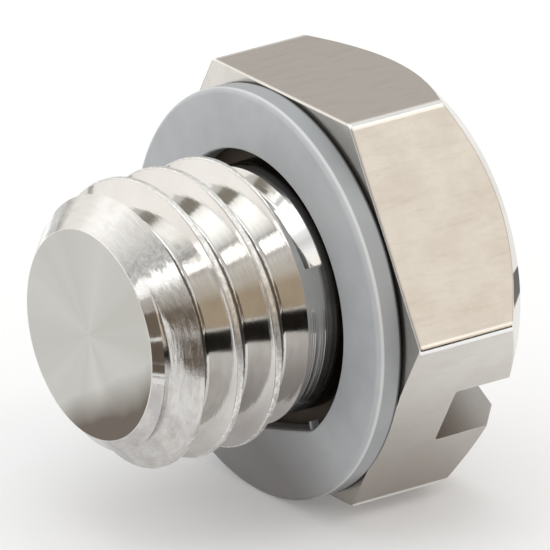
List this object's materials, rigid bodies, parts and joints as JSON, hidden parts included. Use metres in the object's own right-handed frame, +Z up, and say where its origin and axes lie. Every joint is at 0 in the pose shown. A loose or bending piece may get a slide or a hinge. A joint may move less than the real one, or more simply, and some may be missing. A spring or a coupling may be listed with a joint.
{
  "type": "threaded plug fitting",
  "caption": "Slotted hexagon plug with a short metric thread and a loose plastic sealing washer, for closing a small threaded port.",
  "frame": {"origin": "on the surface that the plug lies on, under the middle of its bounding box", "axes": "thread axis level along X with the tip towards -X; +Z up, square to the flat that it lies along; +Y sideways, towards a corner of the hexagon"},
  "size_m": [0.0068, 0.008, 0.0073],
  "materials": {
    "plated_metal": "bright nickel plating over turned metal, with fine tool marks",
    "washer_plastic": "satin grey moulded plastic"
  },
  "bodies": {
    "root": {"plug_body": "plated_metal", "sealing_washer": "washer_plastic"}
  },
  "joints": []
}
